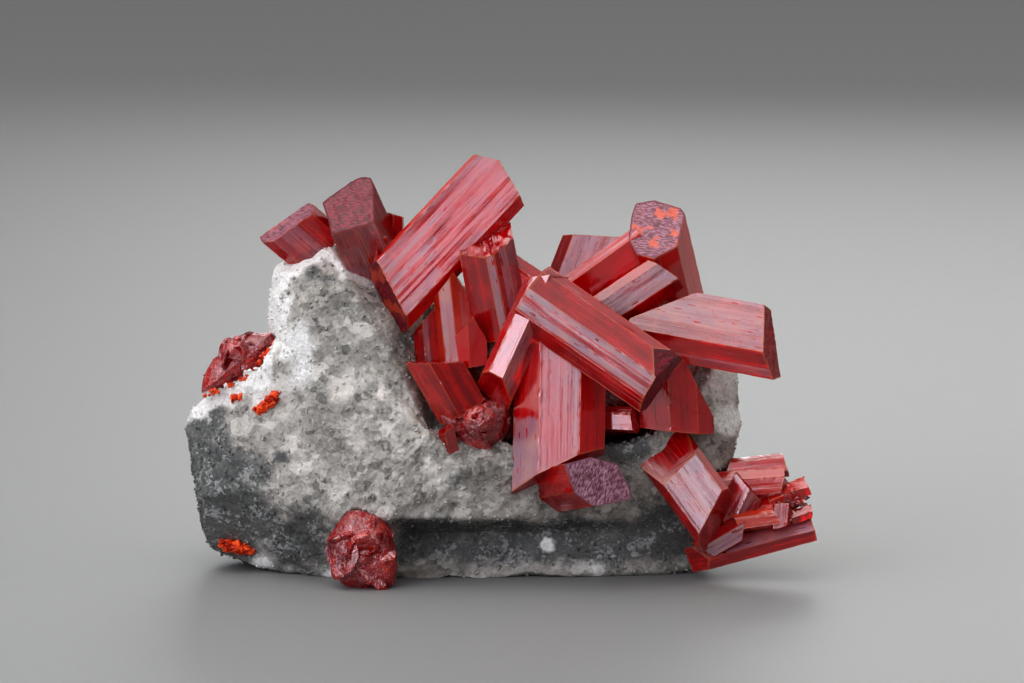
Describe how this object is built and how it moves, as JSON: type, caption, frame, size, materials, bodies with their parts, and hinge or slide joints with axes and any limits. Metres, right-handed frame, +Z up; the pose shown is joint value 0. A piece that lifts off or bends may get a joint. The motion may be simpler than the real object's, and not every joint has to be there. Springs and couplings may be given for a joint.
{
  "type": "mineral specimen",
  "caption": "Red prismatic realgar crystals grown on a lump of grey-white calcite rock, resting on its flat underside.",
  "frame": {"origin": "centre of the bounding box at the level of the rock's flat underside", "axes": "+X to the right in the picture, -Y towards the viewer, +Z up"},
  "size_m": [0.0758, 0.0348, 0.0511],
  "materials": {
    "calcite_rock": "rough sugary grey and white calcite",
    "realgar_crystal": "clear deep red crystal with striped faces and a resinous shine",
    "broken_realgar": "broken deep red realgar with curved glossy chips",
    "orange_grain": "orange-red grains"
  },
  "bodies": {
    "root": {"matrix_rock": "calcite_rock", "main_crystal_cluster": "realgar_crystal", "spur_crystals": "realgar_crystal", "lower_right_crystals": "realgar_crystal", "bottom_realgar_lump": "broken_realgar", "edge_realgar_patch": "broken_realgar", "orange_grain_upper": "orange_grain", "orange_sliver": "orange_grain", "orange_patch_low": "orange_grain"}
  },
  "joints": []
}
